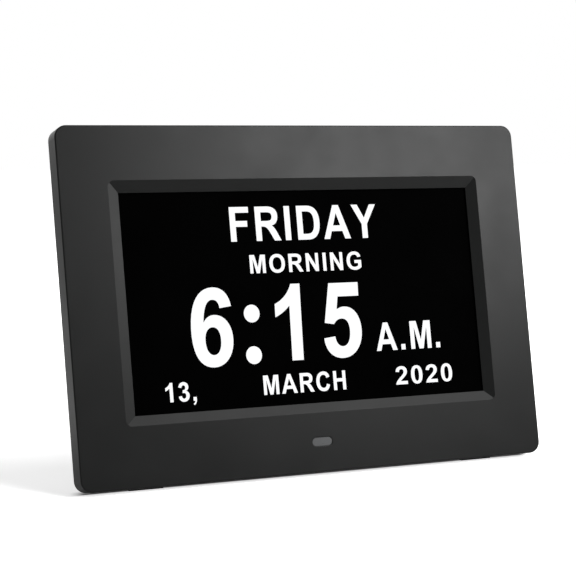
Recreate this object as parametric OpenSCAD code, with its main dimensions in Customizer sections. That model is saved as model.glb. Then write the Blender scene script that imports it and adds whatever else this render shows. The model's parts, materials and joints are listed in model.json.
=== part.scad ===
// Eight-inch day clock for people with memory loss: a leaned picture-frame
// body with a black calendar screen, rear keys, a voice speaker, sockets for
// power and picture cards, and a fold-out leg.
//
// Every piece is drawn in the panel frame: X to the right seen from the front,
// Y into the clock from the flat front face, Z up the face, and the origin at
// the middle of the screen. stand_up() then leans the clock back on its leg,
// so the table is Z = 0 and the origin is the middle of the space it covers.

/* [Front frame] */
// Width of the front frame
frame_w = 231.8; // [226:0.1:245]
// Height of the front frame
frame_h = 161.5; // [158:0.1:172]
// Depth of the frame's side wall
frame_depth = 10.8; // [10.4:0.1:13]
// Radius of the frame's four corners
corner_r = 5.5; // [5:0.5:10]
// Rounding between the front face and the side wall
edge_r = 0.6; // [0.5:0.1:1.6]
// Thickness of the front wall
face_t = 2.6; // [2.4:0.1:3.2]
// Thickness of the side wall beside the rear cover
side_t = 2.2; // [1.6:0.1:2.6]
// How far the frame's middle lies below the screen's middle
frame_drop = 0.85; // [0:0.05:2]

/* [Screen] */
// Width of the picture area, eight inches across the diagonal
screen_w = 176.64; // [172:0.01:178]
// Height of the picture area
screen_h = 99.36; // [96:0.01:101]
// Width of the sloping band beside the screen
bevel_band = 5.1; // [4:0.1:7]
// Width of the sloping band above the screen
bevel_band_top = 5.4; // [4:0.1:7]
// Width of the sloping band below the screen
bevel_band_low = 4.5; // [4:0.1:7]
// Depth of the sloping band at the screen
bevel_depth = 2.2; // [1.5:0.1:2.3]
// Rounding of the band's outer corners
bevel_corner_r = 3; // [1.5:0.5:5]
// Width of the display module
module_w = 192.8; // [190:0.1:194]
// Height of the display module
module_h = 116.9; // [112:0.1:118]
// How far the module's middle lies below the picture's middle
module_drop = 1.5; // [0:0.1:2]
// Thickness of the display glass
glass_t = 1.1; // [0.7:0.1:1.4]
// Thickness of the light guide
guide_t = 2.2; // [1.8:0.1:2.6]

/* [Sensor window] */
// Width of the oval window for the remote control's sensor
window_w = 10.6; // [9:0.1:14]
// Height of the oval window
window_h = 4.6; // [4:0.1:6]
// Height of the window's middle above the bottom edge
window_up = 14; // [12:0.1:15]
// How far the window is sunk below the face
window_sunk = 0.4; // [0.2:0.1:0.8]

/* [Rear cover] */
// Thickness of the cover's walls
cover_t = 2; // [1.8:0.1:2.4]
// Depth of the raised back behind the frame
hump_depth = 14.2; // [12:0.1:16]
// Distance from the frame's outside to the raised back
hump_inset = 8.4; // [8:0.1:10]
// How far the raised back's sides draw in
hump_draft = 3; // [1:0.5:4]
// Rounding of the raised back's edge
hump_edge_r = 1.6; // [1:0.1:2]
// Corner radius of the raised back
hump_corner_r = 13; // [11:0.5:16]

/* [Leg] */
// Angle at which the clock leans back
lean = 11.7; // [9:0.1:14]
// Angle between the folded and the open leg
leg_swing = 26; // [24:0.5:29]
// Width of the leg
leg_w = 50; // [40:1:54]
// Width of the leg's rubber foot
foot_w = 38; // [30:1:46]
// Thickness of the leg
leg_t = 5; // [4.6:0.1:5.4]
// Height of the leg's pivot above the middle of the screen
pivot_up = 6; // [0:0.5:10]
// Radius of the steel hinge pin
pin_r = 1.2; // [1:0.1:1.4]
// Length of the rubber foot along the leg
foot_len = 6; // [4:0.5:8]
// How far the leg's heel rises above the pivot
heel_up = 4.5; // [4:0.1:5]

/* [Keys] */
// Spacing of the keys
key_pitch = 13; // [12.5:0.1:14]
// Width of a key
key_w = 9.6; // [8:0.1:10]
// Height of a key
key_h = 5; // [4:0.1:7]
// How far a key stands out of the back
key_proud = 0.8; // [0.6:0.1:1.5]
// How far a key can be pressed
key_travel = 0.4; // [0.2:0.05:0.5]
// Height of the key row above the screen's middle
keys_up = 38; // [34:0.5:40]

/* [Wall hooks] */
// Radius of the hole that a screw head enters
hook_head_r = 4.2; // [4:0.1:5]
// Radius of the slot that holds the screw's shank
hook_slot_r = 2.1; // [1.8:0.1:2.4]
// Length of the slot above the hole
hook_rise = 8; // [7:0.5:10]
// Distance of each hook from the middle
hook_x = 72; // [70:0.5:76]
// Height of the hooks' round holes above the screen's middle
hook_up = 44; // [40:0.5:46]

/* [Sound] */
// Radius of the loudspeaker
speaker_r = 14; // [12:0.5:15]
// Distance of the loudspeaker's middle from the raised back's side
speaker_in = 41.5; // [38:0.5:46]
// Distance of the loudspeaker below the screen's middle
speaker_down = 28; // [20:0.5:32]
// Radius of one hole of the sound grille
grille_hole_r = 1.1; // [0.8:0.1:1.4]

/* [Boards] */
// Width of the main circuit board
board_w = 62; // [60:0.5:63]
// Height of the main circuit board
board_h = 78; // [74:0.5:84]
// Thickness of the circuit boards
board_t = 1.6; // [1:0.1:1.6]

/* [Hidden] */
$fn = 48;

// Clearances
eps = 0.01;            // overlap of cuts past a face
seat_gap = 0.2;        // a part dropped into its seat
thread_gap = 0.02;     // round a screw or pin held by its hole
running_gap = 0.05;    // round the hinge pin in the leg
key_gap = 0.25;        // round a key in its hole
plunger_gap = 0.1;     // round a switch plunger
leg_gap = 0.5;         // beside and behind the folded leg
stop_gap = 0.1;        // between the open leg's heel and its stop
foot_gap = 0.2;        // from the frame's lowest edge to the table

// Front frame
frame_bottom = -frame_drop - frame_h / 2;
seat_ledge = 1.2;
cover_y = frame_depth - cover_t;
cover_w = frame_w - 2 * (side_t + seat_gap);
cover_h = frame_h - 2 * (side_t + seat_gap);
cover_r = corner_r - side_t - seat_gap;
hump_back = frame_depth + hump_depth;
hump_w = frame_w - 2 * hump_inset;
hump_h = frame_h - 2 * hump_inset;
back_inside = hump_back - cover_t;

// Display module, front to back
module_y = face_t + 0.15;
sheet_t = 0.4;
module_lip = 1;
glass_y = module_y + sheet_t;
diffuser_y = glass_y + glass_t;
diffuser_t = 0.7;
guide_y = diffuser_y + diffuser_t;
tray_back_t = 1;
tray_rim = 1;
module_back = guide_y + guide_t + tray_back_t;
led_h = 2.2;
led_w = 3.4;
led_count = 24;
led_gap = 0.3;
core_w = module_w - 2 * sheet_t - 2 * seat_gap;
core_h = module_h - 2 * sheet_t - 2 * seat_gap;
rib_t = 1.4;
rib_len = 14;
rib_deep = 3;

// Screws, all self-tapping with a pan head
screw_r = 1.15;
screw_head_r = 2.3;
screw_head_t = 1.5;
small_screw_r = 0.9;
small_head_r = 1.8;
small_head_t = 1.2;
boss_r = 3.4;
small_boss_r = 2.4;

// Case screws, down wells at the corners of the raised back
case_inset = 19.5;
case_near = 33;
case_far = frame_w / 2 - case_inset;
case_x = [-case_far, -case_near, case_near, case_far];
case_out = module_h / 2 + boss_r + seat_gap;
case_z = [-module_drop - case_out, -module_drop + case_out];
well_r = 3.2;
well_wall = 1.6;
case_screw_tip = 2.8;    // from the screw's tip to the back of the front wall
case_screw_len = frame_depth - face_t - case_screw_tip;

// Brackets that hold the display module
bracket_off = 5.6;
bracket_up = 40;
bracket_x = module_w / 2 + bracket_off;
bracket_z = [-module_drop - bracket_up, -module_drop + bracket_up];
bracket_t = 1;
bracket_w = 10;
bracket_in = 7;
bracket_out = 3.2;
bracket_screw_len = 4.6;

// Sensor behind the oval window
window_z = frame_bottom + window_up;
window_flange = 1.3;
window_flange_t = 0.8;
receiver_t = 2.4;
receiver_w = 6.4;
receiver_h = 5.4;
sensor_y = face_t + window_flange_t + receiver_t;
sensor_board_w = 26;
sensor_board_h = 8;
sensor_board_t = 1;
sensor_screw_x = 10.4;

// Leg and hinge
swing_y = hump_back - 0.3 - leg_t / 2;
leg_lean = leg_swing - lean;
heel_dip = leg_t / 2 * cos(leg_swing) + heel_up * sin(leg_swing);
channel_floor = swing_y - heel_dip - stop_gap;
channel_w = leg_w + 2 * leg_gap;
channel_top = pivot_up + sqrt(leg_t * leg_t / 4 + heel_up * heel_up) + leg_gap;
lug_r = 3.6;
lug_t = 2.5;
pin_len = channel_w + 2 * (cover_t + 1);

// Leaning: panel height and depth to table height and depth
function lean_y(y, z) = y * cos(lean) + z * sin(lean);
function lean_z(y, z) = z * cos(lean) - y * sin(lean);
table_z = lean_z(frame_depth, frame_bottom) - foot_gap;
pivot_height = lean_z(swing_y, pivot_up) - table_z;
front_reach = lean_y(edge_r, frame_bottom + edge_r) - edge_r;
foot_back = leg_t / 2 * cos(leg_lean) + (pivot_height + leg_t / 2 * sin(leg_lean)) * tan(leg_lean);
back_reach = lean_y(swing_y, pivot_up) + foot_back;
leg_end = pivot_height / cos(leg_lean) - foot_len;

// Rubber feet under the frame
pad_w = 16;
pad_depth = 2.2;
pad_edge = 0.7;          // from the pads to the frame's rear edge
pad_y = frame_depth - pad_edge - pad_depth;
pad_sink = 1;
pad_x = 84;

// Main board
main_y = module_back + 3.9;
main_back = main_y + board_t;
socket_mouth = frame_w / 2 - hump_inset - hump_draft - cover_t - 0.4;
board_gap = 4.1;         // from the board's edge to the sockets' mouths
main_x0 = socket_mouth - board_gap - board_w;
main_z0 = -50;
main_hole = 4;
part_x0 = main_x0 + board_w;
boss_len = back_inside - main_back;

// Parts on the board: [across from its left edge, up from its lower edge]
processor_at = [24, 40];
processor_w = 14;
processor_t = 1.4;
flash_at = [24, 56];
flash_size = [18, 9];
flash_t = 1.1;
store_at = [38, 42];
store_size = [6, 9];
crystal_at = [10, 30];
crystal_w = 10;
crystal_h = 4.2;
crystal_t = 3.2;
cap_at = [46, 10];
cap_pitch = 9;
cap_r = 3.1;
cap_len = 5.8;
small_cap_at = [36, 68];
small_cap_r = 2.5;
small_cap_len = 5.4;
coil_at = [35, 14];
coil_w = 8;
coil_core = 2.1;
coil_flange_t = 0.95;
cell_at = [18, 15];

// Keys, switches and their board
key_names = ["power", "menu", "left", "up", "down", "right", "ok"];
key_flange = 1.2;
key_flange_t = 2.4;
key_rest_gap = 0.3;
key_flange_y = back_inside - key_rest_gap - key_flange_t;
plunger_r = 1.7;
plunger_proud = 1;
plunger_len = 1.9;
switch_w = 6;
switch_h = 6;
switch_t = 3.5;
switch_y = key_flange_y - plunger_proud - switch_t;
key_board_y = switch_y - board_t;
key_board_end = 13;      // from an outer key's middle to the board's end
key_board_w = 6 * key_pitch + 2 * key_board_end;
key_board_h = 16;
key_screw_off = 9.6;     // from an outer key's middle to the screw beside it
key_screw_x = 3 * key_pitch + key_screw_off;

// Loudspeaker, front against the grille
speaker_x = frame_w / 2 - hump_inset - speaker_in;
speaker_z = -speaker_down;
speaker_y = back_inside;
speaker_rim_t = 1.2;
basket_depth = 3.4;
magnet_r = 8;
magnet_t = 3.2;
speaker_ear = 4.2;
grille_rings = 2;
grille_step = 4.4;

// Sockets at the edge of the main board
socket_y = main_back + 3.4;
dc_z = -38;
dc_w = 9;
dc_body = 6.8;
dc_len = 12;
dc_hole_r = 2.85;
dc_pin_r = 1;
usb_z = -17.5;
usb_w = 14.5;
usb_h = 6.8;
usb_len = 13.6;
card_z = 5;
card_w = 27;
card_t = 2.9;
card_len = 22;

// Wall hooks
hook_room = 3.6;
hook_wall = 1.4;

// Colours
face_colour = "#303231";
inside_colour = "#26282a";
steel = "#b4b6b8";
board_green = "#1f5a34";
chip_black = "#1a1a1c";
rubber_black = "#161616";
brass = "#b99a4c";

// ---- Shapes -------------------------------------------------------------

module stand_up() {
    translate([0, -(front_reach + back_reach) / 2, -table_z]) rotate([-lean, 0, 0]) children();
}

module at_frame() {
    translate([0, 0, -frame_drop]) children();
}

module at_module() {
    translate([0, 0, -module_drop]) children();
}

module at(x, z) {
    translate([x, 0, z]) children();
}

// Extrudes an X-Z outline through t, starting y behind the face
module plate(y, t) {
    translate([0, y + t, 0]) rotate([90, 0, 0]) linear_extrude(t) children();
}

module rod_y(y, len, r) {
    translate([0, y, 0]) rotate([-90, 0, 0]) cylinder(h = len, r = r);
}

module rod_x(len, r) {
    rotate([0, 90, 0]) cylinder(h = len, r = r, center = true);
}

module round_rect(w, h, r) {
    square([w - 2 * r, h], center = true);
    square([w, h - 2 * r], center = true);
    for (x = [-1, 1], z = [-1, 1]) {
        translate([x * (w / 2 - r), z * (h / 2 - r)]) circle(r);
    }
}

module slot(w, h) {
    square([w - h, h], center = true);
    for (x = [-1, 1]) {
        translate([x * (w - h) / 2, 0]) circle(h / 2);
    }
}

// Side profile of a block: r out to its foot, drawn in by draft, rounded by e
module side_profile(r, depth, draft, e) {
    a = atan(draft / depth);
    cx = r - (depth - e) * tan(a) - e / cos(a);
    polygon([[0, 0], [r, 0], [cx + e * cos(a), depth - e + e * sin(a)],
        [cx, depth - e], [cx, depth], [0, depth]]);
    translate([cx, depth - e]) circle(e);
}

// The same with a sharp edge
module sharp_profile(r, depth, draft) {
    polygon([[0, 0], [r, 0], [r - draft, depth], [0, depth]]);
}

// Block with that profile on every side and at every corner
module profiled_block(w, h, r, depth) {
    translate([0, 0, depth / 2]) cube([w - 2 * r, h - 2 * r, depth], center = true);
    for (i = [0:3]) {
        across = (i % 2 == 0) ? w : h;
        along = (i % 2 == 0) ? h : w;
        rotate([0, 0, 90 * i]) {
            translate([across / 2 - r, 0, 0]) rotate([90, 0, 0])
                linear_extrude(along - 2 * r, center = true) children();
            translate([across / 2 - r, along / 2 - r, 0]) rotate_extrude(angle = 90) children();
        }
    }
}

// Pan-head screw driven along -Y, its head resting on the plane y
module screw(y, len, r, head_r, head_t) {
    rod_y(y - len, len + eps, r);
    difference() {
        rod_y(y, head_t, head_r);
        for (a = [0, 90]) {
            translate([0, y + head_t, 0]) rotate([0, a, 0])
                cube([head_r * 1.3, head_t, head_r * 0.3], center = true);
        }
    }
}

// The same screw driven along +Y, its head in front of the plane y
module screw_in(y, len, r, head_r, head_t) {
    translate([0, y, 0]) mirror([0, 1, 0]) screw(0, len, r, head_r, head_t);
}

// Round wire swept through a list of points, with mitred bends
function unit(v) = v / norm(v);
function heading(p, i) = unit(
    (i < len(p) - 1 ? unit(p[i + 1] - p[i]) : [0, 0, 0]) + (i > 0 ? unit(p[i] - p[i - 1]) : [0, 0, 0]));

module wire(points, r, sides = 8) {
    rings = [for (i = [0:len(points) - 1])
        let (t = heading(points, i), u = unit(cross(t, [0.1, 1, 0.2])), v = cross(t, u))
        for (k = [0:sides - 1]) points[i] + r * (cos(360 * k / sides) * u + sin(360 * k / sides) * v)];
    last = len(points) - 1;
    walls = [for (i = [0:last - 1], k = [0:sides - 1])
        let (n = (k + 1) % sides)
        [i * sides + k, i * sides + n, (i + 1) * sides + n, (i + 1) * sides + k]];
    start = [[for (k = [0:sides - 1]) sides - 1 - k]];
    finish = [[for (k = [0:sides - 1]) last * sides + k]];
    polyhedron(rings, concat(walls, start, finish), convexity = 4);
}

// ---- Front --------------------------------------------------------------

module window_outline(grow) {
    slot(window_w + 2 * grow, window_h + 2 * grow);
}

// Sloping sides down to the screen, with sharp mitres and eased outer corners
module bevel_cut() {
    grow = 1 + 1 / bevel_depth;
    side = screen_w / 2 + bevel_band * grow;
    intersection() {
        linear_extrude(frame_h, center = true) polygon([[-side, -1], [side, -1],
            [screen_w / 2, bevel_depth], [-screen_w / 2, bevel_depth]]);
        rotate([0, -90, 0]) linear_extrude(frame_w, center = true)
            polygon([[-screen_h / 2 - bevel_band_low * grow, -1], [screen_h / 2 + bevel_band_top * grow, -1],
                [screen_h / 2, bevel_depth], [-screen_h / 2, bevel_depth]]);
        plate(-1, bevel_depth + 1) translate([0, (bevel_band_top - bevel_band_low) / 2])
            round_rect(screen_w + 2 * bevel_band, screen_h + bevel_band_top + bevel_band_low, bevel_corner_r);
    }
}

module foot_recess(x) {
    translate([x - pad_w / 2 - seat_gap, pad_y - seat_gap, frame_bottom - eps])
        cube([pad_w + 2 * seat_gap, pad_depth + 2 * seat_gap, pad_sink + eps]);
}

// Ribs that centre the display module
module module_ribs() {
    for (side = [-1, 1], k = [-1, 1]) {
        at_module() at(side * (module_w / 2 + seat_gap + rib_t / 2), k * module_h / 3)
            plate(face_t - eps, rib_deep) square([rib_t, rib_len], center = true);
        at_module() at(k * module_w / 3, side * (module_h / 2 + seat_gap + rib_t / 2))
            plate(face_t - eps, rib_deep) square([rib_len, rib_t], center = true);
    }
}

module front_bezel() {
    color(face_colour) stand_up() difference() {
        union() {
            difference() {
                at_frame() translate([0, frame_depth, 0]) rotate([90, 0, 0])
                    profiled_block(frame_w, frame_h, corner_r, frame_depth)
                        side_profile(corner_r, frame_depth, 0, edge_r);
                at_frame() plate(face_t, frame_depth)
                    round_rect(frame_w - 2 * (side_t + seat_ledge), frame_h - 2 * (side_t + seat_ledge),
                        corner_r - side_t - seat_ledge);
                at_frame() plate(cover_y, frame_depth)
                    round_rect(frame_w - 2 * side_t, frame_h - 2 * side_t, corner_r - side_t);
            }
            module_ribs();
            for (x = case_x, z = case_z) {
                at(x, z) rod_y(face_t - eps, frame_depth - face_t + eps, boss_r);
            }
            for (side = [-1, 1], z = bracket_z) {
                at(side * bracket_x, z) rod_y(face_t - eps, module_back - face_t + eps, small_boss_r);
            }
            for (side = [-1, 1]) {
                at(side * sensor_screw_x, window_z) rod_y(face_t - eps, sensor_y - face_t + eps, 2);
            }
        }
        bevel_cut();
        plate(-1, face_t + 2) square([screen_w, screen_h], center = true);
        at(0, window_z) plate(-1, face_t + 2) window_outline(0.05);
        for (x = case_x, z = case_z) {
            at(x, z) rod_y(face_t + 1, frame_depth, screw_r + thread_gap);
        }
        for (side = [-1, 1], z = bracket_z) {
            at(side * bracket_x, z) rod_y(face_t + 0.6, cover_y, small_screw_r + thread_gap);
        }
        for (side = [-1, 1]) {
            at(side * sensor_screw_x, window_z) rod_y(face_t + 0.2, cover_y, small_screw_r + thread_gap);
            foot_recess(side * pad_x);
        }
    }
}

// Rubber pads whose soles lie flat on the table
module frame_feet() {
    color(rubber_black) stand_up() intersection() {
        for (side = [-1, 1]) {
            translate([side * pad_x - pad_w / 2, pad_y, frame_bottom + pad_sink - pad_depth])
                cube([pad_w, pad_depth, pad_depth]);
        }
        rotate([lean, 0, 0]) translate([-frame_w, -frame_h, table_z]) cube([2 * frame_w, 2 * frame_h, frame_h]);
    }
}

module sensor_window() {
    color("#5c5e60") stand_up() at(0, window_z) {
        plate(window_sunk, face_t - window_sunk) window_outline(0);
        plate(face_t, window_flange_t) window_outline(window_flange);
    }
}

module sensor_receiver() {
    color(chip_black) stand_up() at(0, window_z) {
        translate([-receiver_w / 2, sensor_y - receiver_t / 2, -receiver_h / 2])
            cube([receiver_w, receiver_t / 2, receiver_h]);
        intersection() {
            rod_y(sensor_y - receiver_t, receiver_t, receiver_h / 2 - 0.3);
            translate([0, sensor_y - receiver_t / 2, 0]) sphere(receiver_h / 2);
        }
    }
}

module sensor_board() {
    color(board_green) stand_up() at(0, window_z) difference() {
        plate(sensor_y, sensor_board_t) round_rect(sensor_board_w, sensor_board_h, 1);
        for (side = [-1, 1]) {
            at(side * sensor_screw_x, 0) rod_y(0, frame_depth, small_screw_r + 0.2);
        }
    }
}

module sensor_screws() {
    color(steel) stand_up() for (side = [-1, 1]) {
        at(side * sensor_screw_x, window_z)
            screw(sensor_y + sensor_board_t, sensor_board_t + 2.2, small_screw_r, small_head_r, small_head_t);
    }
}

// Three leads from the sensor board up to the main board
// The leads pass above the well of a case screw on their way to the main board
module sensor_leads() {
    lead_r = 0.4;
    pitch = 1.1;
    start_y = sensor_y + sensor_board_t + lead_r;
    run_y = main_y - 1.5 * lead_r;
    over_well = case_z[0] + well_r + well_wall + pitch + lead_r + 0.6;
    color("#a8a8a8") stand_up() for (i = [-1:1]) {
        x = pitch * i;
        wire([[x, start_y, window_z - x], [x, start_y, window_z + 4 - x],
            [x + case_near - 9, run_y, over_well - x], [x + main_x0 + 8, run_y, main_z0 - 3 - x],
            [x + main_x0 + 12, main_y - lead_r, main_z0 + 5 - x]], lead_r);
    }
}

// ---- Display module -----------------------------------------------------

module lcd_frame() {
    color(steel) stand_up() difference() {
        at_module() plate(module_y, module_back - module_y) square([module_w, module_h], center = true);
        at_module() plate(glass_y, frame_depth)
            square([module_w - 2 * sheet_t, module_h - 2 * sheet_t], center = true);
        plate(0, frame_depth) square([screen_w + 2 * module_lip, screen_h + 2 * module_lip], center = true);
    }
}

module lcd_glass() {
    color("#050506") stand_up() at_module() plate(glass_y, glass_t) square([core_w, core_h], center = true);
}

module diffuser_sheets() {
    color("#f2f2f0") stand_up() at_module() plate(diffuser_y, diffuser_t) square([core_w, core_h], center = true);
}

module guide_outline() {
    inner_w = core_w - 2 * tray_rim - 2 * seat_gap;
    inner_h = core_h - 2 * tray_rim - 2 * seat_gap;
    translate([0, (led_h + led_gap) / 2]) square([inner_w, inner_h - led_h - led_gap], center = true);
}

module light_guide() {
    color("#dfe9ee") stand_up() at_module() plate(guide_y, guide_t) guide_outline();
}

// Strip of lamps under the light guide's lower edge
module led_strip() {
    strip_w = core_w - 2 * tray_rim - 6;
    strip_z = -core_h / 2 + tray_rim + seat_gap;
    pitch = strip_w / led_count;
    color("#f4e9a8") stand_up() at_module() {
        translate([-strip_w / 2, guide_y, strip_z]) cube([strip_w, guide_t, 0.3]);
        for (i = [0:led_count - 1]) {
            translate([-strip_w / 2 + pitch * (i + 0.5) - led_w / 2, guide_y + 0.2, strip_z + 0.3 - eps])
                cube([led_w, guide_t - 0.4, led_h - 0.3]);
        }
    }
}

module lcd_tray() {
    color("#e8e8e4") stand_up() at_module() difference() {
        plate(guide_y, guide_t + tray_back_t) square([core_w, core_h], center = true);
        plate(guide_y - 1, guide_t + 1) square([core_w - 2 * tray_rim, core_h - 2 * tray_rim], center = true);
    }
}

// Flat ribbon from the back of the module to the main board
ribbon_in = 26;          // from the board's left edge to the ribbon's middle
ribbon_x = main_x0 + ribbon_in;
ribbon_w = 20;
ribbon_t = 0.25;
plug_t = 1.4;
plug_h = 4;
ribbon_low = -46;
ribbon_high = -22;
module lcd_ribbon() {
    rise = main_y - plug_t / 2 - ribbon_t / 2 - module_back;
    bend = (rise - ribbon_t) / 2;
    color("#b8742a") stand_up() translate([ribbon_x, 0, 0]) rotate([90, 0, 90])
        linear_extrude(ribbon_w, center = true) {
            translate([module_back, ribbon_low]) square([ribbon_t, ribbon_high - ribbon_low - 2 * bend]);
            translate([module_back, ribbon_high - 2 * bend - eps])
                polygon([[0, 0], [ribbon_t, 0], [rise + ribbon_t, 2 * bend], [rise, 2 * bend]]);
            translate([module_back + rise, ribbon_high - eps]) square([ribbon_t, 1.4]);
        }
}

module lcd_brackets() {
    color(steel) stand_up() for (side = [-1, 1], z = bracket_z) {
        at(side * bracket_x, z) difference() {
            translate([-(bracket_in + bracket_out - side * (bracket_out - bracket_in)) / 2, module_back,
                -bracket_w / 2]) cube([bracket_in + bracket_out, bracket_t, bracket_w]);
            rod_y(0, frame_depth, small_screw_r + 0.2);
        }
    }
}

module bracket_screws() {
    color(steel) stand_up() for (side = [-1, 1], z = bracket_z) {
        at(side * bracket_x, z) screw(module_back + bracket_t, bracket_screw_len,
            small_screw_r, small_head_r, small_head_t);
    }
}

// ---- Main board ---------------------------------------------------------

module at_main_holes() {
    for (x = [main_hole, board_w - main_hole], z = [main_hole, board_h - main_hole]) {
        at(main_x0 + x, main_z0 + z) children();
    }
}

module main_board() {
    color(board_green) stand_up() difference() {
        translate([main_x0, main_y, main_z0]) cube([board_w, board_t, board_h]);
        at_main_holes() rod_y(0, hump_back, small_screw_r + 0.3);
    }
}

module board_screws() {
    color(steel) stand_up() at_main_holes()
        screw_in(main_y, board_t + 5, small_screw_r, small_head_r, small_head_t);
}

// Square chip standing on the back of the main board
module chip(place, size, t) {
    translate([main_x0 + place[0] - size[0] / 2, main_back, main_z0 + place[1] - size[1] / 2])
        cube([size[0], t, size[1]]);
}

module processor() {
    color(chip_black) stand_up() difference() {
        chip(processor_at, [processor_w, processor_w], processor_t);
        at(main_x0 + processor_at[0] - 5, main_z0 + processor_at[1] + 5)
            rod_y(main_back + processor_t - 0.2, 1, 0.6);
    }
}

module memory_chips() {
    color(chip_black) stand_up() {
        chip(flash_at, flash_size, flash_t);
        chip(store_at, store_size, flash_t);
    }
}

module crystal() {
    color("#cfd2d4") stand_up() at(main_x0 + crystal_at[0], main_z0 + crystal_at[1])
        plate(main_back, crystal_t) slot(crystal_w, crystal_h);
}

module capacitors() {
    color("#3a3d46") stand_up() {
        for (k = [0, 1]) {
            at(main_x0 + cap_at[0], main_z0 + cap_at[1] + k * cap_pitch) rod_y(main_back, cap_len, cap_r);
        }
        at(main_x0 + small_cap_at[0], main_z0 + small_cap_at[1]) rod_y(main_back, small_cap_len, small_cap_r);
    }
}

module power_inductor() {
    flange_r = 1.4;
    color("#54504a") stand_up() at(main_x0 + coil_at[0], main_z0 + coil_at[1]) {
        plate(main_back, coil_flange_t) round_rect(coil_w, coil_w, flange_r);
        rod_y(main_back + coil_flange_t - eps, coil_core + 2 * eps, coil_w * 0.4);
        plate(main_back + coil_flange_t + coil_core, coil_flange_t) round_rect(coil_w, coil_w, flange_r);
    }
}

// Socket for the display ribbon, on the front of the board
module ribbon_connector() {
    color("#e9e6dc") stand_up() difference() {
        translate([ribbon_x - ribbon_w / 2 - 1.5, main_y - plug_t, ribbon_high + 0.4])
            cube([ribbon_w + 3, plug_t, plug_h]);
        translate([ribbon_x - ribbon_w / 2 - 0.1, main_y - plug_t / 2 - ribbon_t / 2 - 0.05, ribbon_high])
            cube([ribbon_w + 0.2, ribbon_t + 0.1, 2.2]);
    }
}

// Clock cell in its holder
cell_r = 10;
cell_t = 3.2;
cell_x = main_x0 + cell_at[0];
cell_z = main_z0 + cell_at[1];
module cell_holder() {
    color("#22262a") stand_up() at(cell_x, cell_z) difference() {
        rod_y(main_back, cell_t + 1.2, cell_r + 1.6);
        rod_y(main_back + 1.2, cell_t + 1, cell_r + 0.1);
        translate([0, main_back + 2.8, 0]) cube([7, 3.2, 30], center = true);
    }
}

module coin_cell() {
    color("#d6d8da") stand_up() at(cell_x, cell_z) {
        rod_y(main_back + 1.2, 0.6, cell_r - 1.4);
        rod_y(main_back + 1.7, cell_t - 0.5, cell_r);
    }
}

// ---- Sockets ------------------------------------------------------------

module dc_jack() {
    color(chip_black) stand_up() translate([socket_mouth - dc_len / 2, socket_y, dc_z]) {
        difference() {
            translate([-dc_len / 2, -socket_y + main_back, -dc_w / 2]) cube([dc_len, dc_body, dc_w]);
            translate([1.5 + eps, 0, 0]) rod_x(dc_len - 3, dc_hole_r);
        }
        translate([1, 0, 0]) rod_x(dc_len - 3.5, dc_pin_r);
    }
}

module usb_port() {
    shell = 0.4;
    color(steel) stand_up() translate([socket_mouth - usb_len, main_back, usb_z - usb_w / 2]) {
        difference() {
            cube([usb_len, usb_h, usb_w]);
            translate([1.2, shell, shell]) cube([usb_len, usb_h - 2 * shell, usb_w - 2 * shell]);
        }
        translate([1, shell + 2.4, 1.6]) cube([usb_len - 2.4, 1.9, usb_w - 3.2]);
    }
}

module card_socket() {
    shell = 0.3;
    color(steel) stand_up() translate([socket_mouth - card_len, main_back, card_z - card_w / 2]) difference() {
        cube([card_len, card_t, card_w]);
        translate([1.2, shell, 1]) cube([card_len, card_t - 2 * shell, card_w - 2]);
    }
}

// ---- Keys ---------------------------------------------------------------

function key_x(i) = (i - 3) * key_pitch;

module key_cap(i) {
    color("#1d1e1f") stand_up() at(key_x(i), keys_up) {
        plate(key_flange_y, key_flange_t)
            round_rect(key_w + 2 * key_flange, key_h + 2 * key_flange, 1.6);
        plate(key_flange_y, hump_back + key_proud - key_flange_y) round_rect(key_w, key_h, 1.8);
    }
}

module plunger(i) {
    color("#c9c9c9") stand_up() at(key_x(i), keys_up) rod_y(key_flange_y - plunger_len, plunger_len, plunger_r);
}

module key_switches() {
    color(steel) stand_up() for (i = [0:6]) {
        at(key_x(i), keys_up) difference() {
            plate(switch_y, switch_t) square([switch_w, switch_h], center = true);
            rod_y(switch_y + switch_t - plunger_len + plunger_proud - key_travel - 0.2, switch_t, plunger_r + plunger_gap);
        }
    }
}

module key_board() {
    color(board_green) stand_up() at(0, keys_up) difference() {
        plate(key_board_y, board_t) square([key_board_w, key_board_h], center = true);
        for (side = [-1, 1]) {
            at(side * key_screw_x, 0) rod_y(0, hump_back, small_screw_r + 0.3);
        }
    }
}

module key_board_screws() {
    color(steel) stand_up() for (side = [-1, 1]) {
        at(side * key_screw_x, keys_up)
            screw_in(key_board_y, board_t + 4, small_screw_r, small_head_r, small_head_t);
    }
}

// Flat ribbon from the key board down to the main board
module key_ribbon() {
    top = keys_up - key_board_h / 2 + 1.5;
    low = main_z0 + board_h - 2;
    x = key_board_w / 2 - 7;
    strip_y = min(key_board_y, main_y) - ribbon_t;
    color("#b9bcc0") stand_up() {
        translate([x - 4, strip_y, low]) cube([8, ribbon_t, top - low]);
        translate([x - 4, strip_y, top - 1]) cube([8, key_board_y - strip_y, 1]);
        translate([x - 4, strip_y, low]) cube([8, main_y - strip_y, 1]);
    }
}

// ---- Loudspeaker --------------------------------------------------------

// Radius of the basket's hollow, h in front of its floor
function basket_bore(h) = magnet_r - 1 + (speaker_r - magnet_r - 0.2) * h / (basket_depth + speaker_rim_t);

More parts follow.
